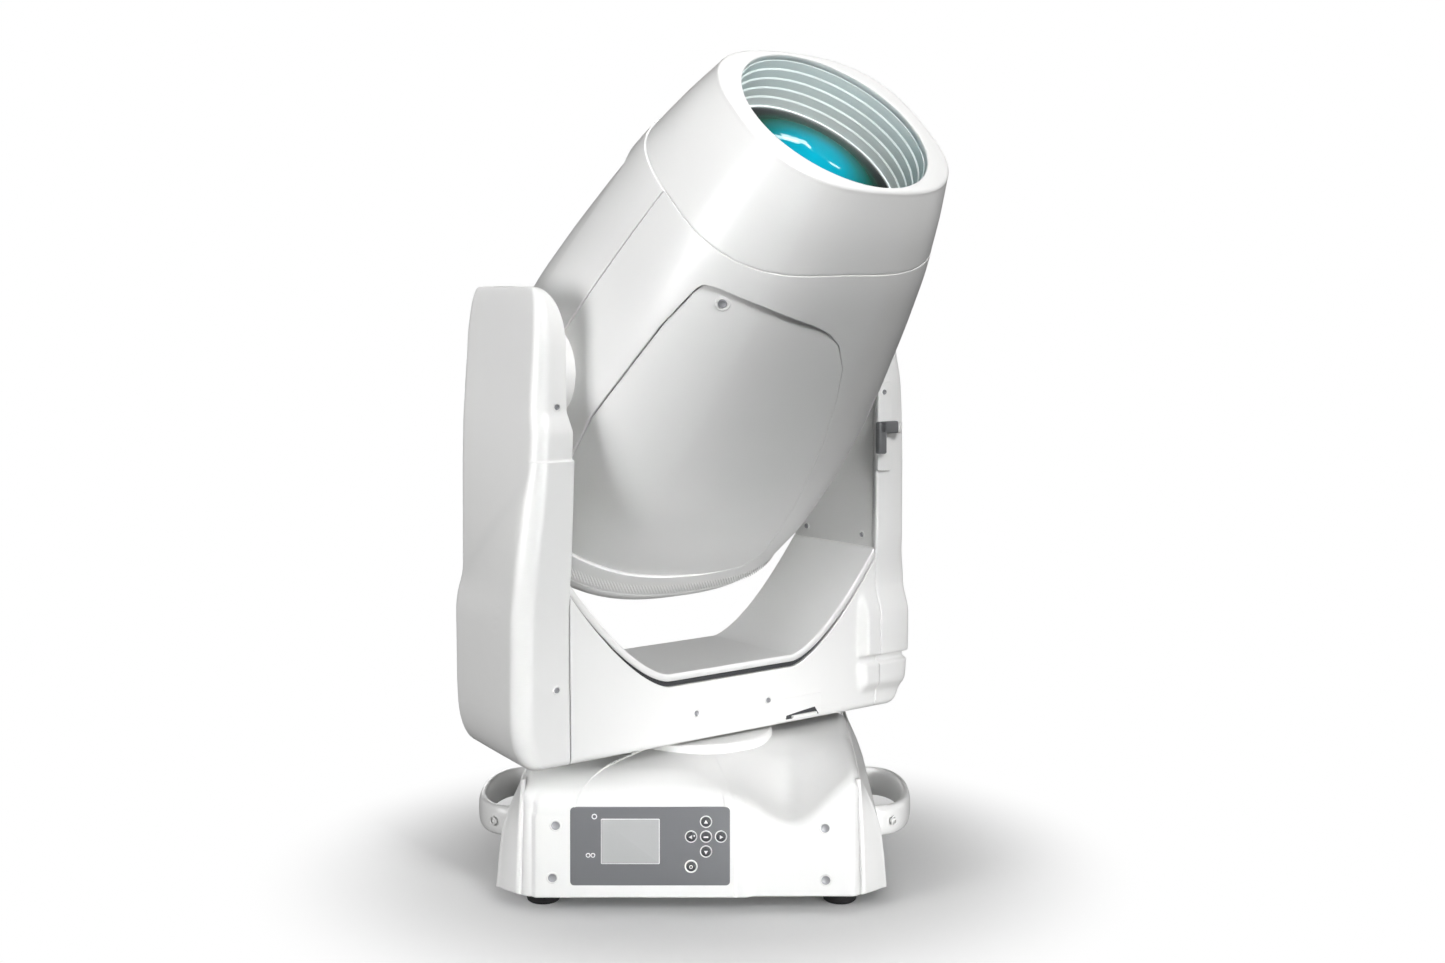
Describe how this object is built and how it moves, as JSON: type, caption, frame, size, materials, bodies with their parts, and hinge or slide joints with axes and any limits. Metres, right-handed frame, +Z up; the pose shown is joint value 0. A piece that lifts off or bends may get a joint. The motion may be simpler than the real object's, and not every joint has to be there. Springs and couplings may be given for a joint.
{
  "type": "moving head light",
  "caption": "White moving head stage light: a base with display and handles, a U-shaped yoke that pans, and a tapered head with a deep lens hood that tilts.",
  "frame": {"origin": "where the pan axis meets the underside of the mounting plate, which is the plane the base bolts to; the feet reach 14 mm lower", "axes": "+Z up along the pan axis; the face with the display looks along -Y; +X is to the right when facing the display"},
  "size_m": [0.5185, 0.5558, 0.8826],
  "materials": {
    "white_shell": "satin moulded white",
    "panel_grey": "fine matt grey",
    "display_glass": "unlit display window",
    "button_grey": "satin dark grey",
    "rubber_black": "matt rubber",
    "lever_grey": "satin grey paint",
    "baffle_white": "matt off-white",
    "lens_glass": "coated lens, green-blue reflection",
    "steel": "zinc plated",
    "aluminium": "turned or die cast",
    "motor_black": "black enamel",
    "belt_black": "toothed rubber belt"
  },
  "bodies": {
    "base": {"base_cover": "white_shell", "base_tray": "steel", "mounting_plate": "steel", "side_cover_left": "white_shell", "side_cover_right": "white_shell", "handle_left": "white_shell", "handle_right": "white_shell", "foot_front_left": "rubber_black", "foot_front_right": "rubber_black", "foot_rear_left": "rubber_black", "foot_rear_right": "rubber_black", "display_panel": "panel_grey", "display_window": "display_glass", "pan_shaft": "steel", "pan_pulley": "aluminium", "power_supply": "aluminium", "power_inlet": "motor_black"},
    "yoke": {"yoke_frame": "steel", "cross_panel_front": "white_shell", "cross_panel_rear": "white_shell", "cross_floor": "white_shell", "arm_cover_left": "white_shell", "arm_cover_right": "white_shell", "arm_inner_left": "white_shell", "arm_inner_right": "white_shell", "tilt_bearing_left": "steel", "tilt_bearing_right": "steel", "pan_bearing": "steel", "tilt_motor": "motor_black", "tilt_belt": "belt_black", "pan_motor": "motor_black", "pan_belt": "belt_black"},
    "head": {"hood": "white_shell", "head_shell_front": "white_shell", "head_shell_rear": "white_shell", "service_cover_front": "white_shell", "service_cover_rear": "white_shell", "rear_cap": "white_shell", "baffle_tube": "baffle_white", "front_lens": "lens_glass", "head_chassis": "steel", "tilt_hub_left": "aluminium", "tilt_hub_right": "aluminium", "light_engine": "motor_black", "heat_sink": "aluminium"},
    "button_up": {"button_up": "button_grey"},
    "button_down": {"button_down": "button_grey"},
    "button_left": {"button_left": "button_grey"},
    "button_right": {"button_right": "button_grey"},
    "button_enter": {"button_enter": "button_grey"},
    "button_battery": {"button_battery": "button_grey"},
    "pan_pinion": {"pan_pinion": "aluminium"},
    "tilt_pinion": {"tilt_pinion": "aluminium"},
    "tilt_lock_lever": {"tilt_lock_lever": "lever_grey"},
    "pan_lock_latch": {"pan_lock_latch": "lever_grey"},
    "focus_carriage": {"focus_carriage": "aluminium"},
    "zoom_carriage": {"zoom_carriage": "aluminium"},
    "colour_wheel": {"colour_wheel": "aluminium"},
    "gobo_wheel": {"gobo_wheel": "aluminium"},
    "cooling_fan": {"cooling_fan": "motor_black"}
  },
  "joints": [
    {"name": "pan", "type": "hinge", "parent": "base", "child": "yoke", "pos_m": [0, 0, 0.15], "axis": [0, 0, 1], "range_deg": [-308.7, 231.3]},
    {"name": "tilt", "type": "hinge", "parent": "yoke", "child": "head", "pos_m": [0, 0, 0.544], "axis": [0.7804, 0.6252, 0], "range_deg": [-177.8, 92.2]},
    {"name": "button_up_press", "type": "slide", "parent": "base", "child": "button_up", "axis": [0, 0.9965, -0.0837], "range_m": [0, 0.001], "stiffness_N_per_m": 800, "springref_m": -0.0006},
    {"name": "button_down_press", "type": "slide", "parent": "base", "child": "button_down", "axis": [0, 0.9965, -0.0837], "range_m": [0, 0.001], "stiffness_N_per_m": 800, "springref_m": -0.0006},
    {"name": "button_left_press", "type": "slide", "parent": "base", "child": "button_left", "axis": [0, 0.9965, -0.0837], "range_m": [0, 0.001], "stiffness_N_per_m": 800, "springref_m": -0.0006},
    {"name": "button_right_press", "type": "slide", "parent": "base", "child": "button_right", "axis": [0, 0.9965, -0.0837], "range_m": [0, 0.001], "stiffness_N_per_m": 800, "springref_m": -0.0006},
    {"name": "button_enter_press", "type": "slide", "parent": "base", "child": "button_enter", "axis": [0, 0.9965, -0.0837], "range_m": [0, 0.001], "stiffness_N_per_m": 800, "springref_m": -0.0006},
    {"name": "button_battery_press", "type": "slide", "parent": "base", "child": "button_battery", "axis": [0, 0.9965, -0.0837], "range_m": [0, 0.001], "stiffness_N_per_m": 800, "springref_m": -0.0006},
    {"name": "pan_pinion_spin", "type": "hinge", "parent": "yoke", "child": "pan_pinion", "pos_m": [0.09755, 0.07816, 0.1663], "axis": [0, 0, 1], "range_deg": [-1510, 2010]},
    {"name": "tilt_pinion_spin", "type": "hinge", "parent": "yoke", "child": "tilt_pinion", "pos_m": [-0.17872, -0.14318, 0.222], "axis": [0.7804, 0.6252, 0], "range_deg": [-800, 420]},
    {"name": "tilt_lock", "type": "slide", "parent": "yoke", "child": "tilt_lock_lever", "axis": [0, 0, 1], "range_m": [0, 0.02]},
    {"name": "pan_lock", "type": "slide", "parent": "yoke", "child": "pan_lock_latch", "axis": [-0.7804, -0.6252, 0], "range_m": [0, 0.012]},
    {"name": "focus", "type": "slide", "parent": "head", "child": "focus_carriage", "axis": [0.4248, -0.5303, 0.7337], "range_m": [-0.02, 0.03]},
    {"name": "zoom", "type": "slide", "parent": "head", "child": "zoom_carriage", "axis": [0.4248, -0.5303, 0.7337], "range_m": [-0.03, 0.05]},
    {"name": "colour_wheel_spin", "type": "hinge", "parent": "head", "child": "colour_wheel", "pos_m": [0.01072, 0.08259, 0.48163], "axis": [0.4248, -0.5303, 0.7337], "continuous": true},
    {"name": "gobo_wheel_spin", "type": "hinge", "parent": "head", "child": "gobo_wheel", "pos_m": [-0.07656, -0.0004, 0.49264], "axis": [0.4248, -0.5303, 0.7337], "continuous": true},
    {"name": "fan_spin", "type": "hinge", "parent": "head", "child": "cooling_fan", "pos_m": [-0.08496, 0.10605, 0.39725], "axis": [0.4248, -0.5303, 0.7337], "continuous": true}
  ],
  "couplings": [
    {"joint": "pan_pinion_spin", "follows": "pan", "ratio": -6.4706},
    {"joint": "tilt_pinion_spin", "follows": "tilt", "ratio": 3.5789}
  ]
}
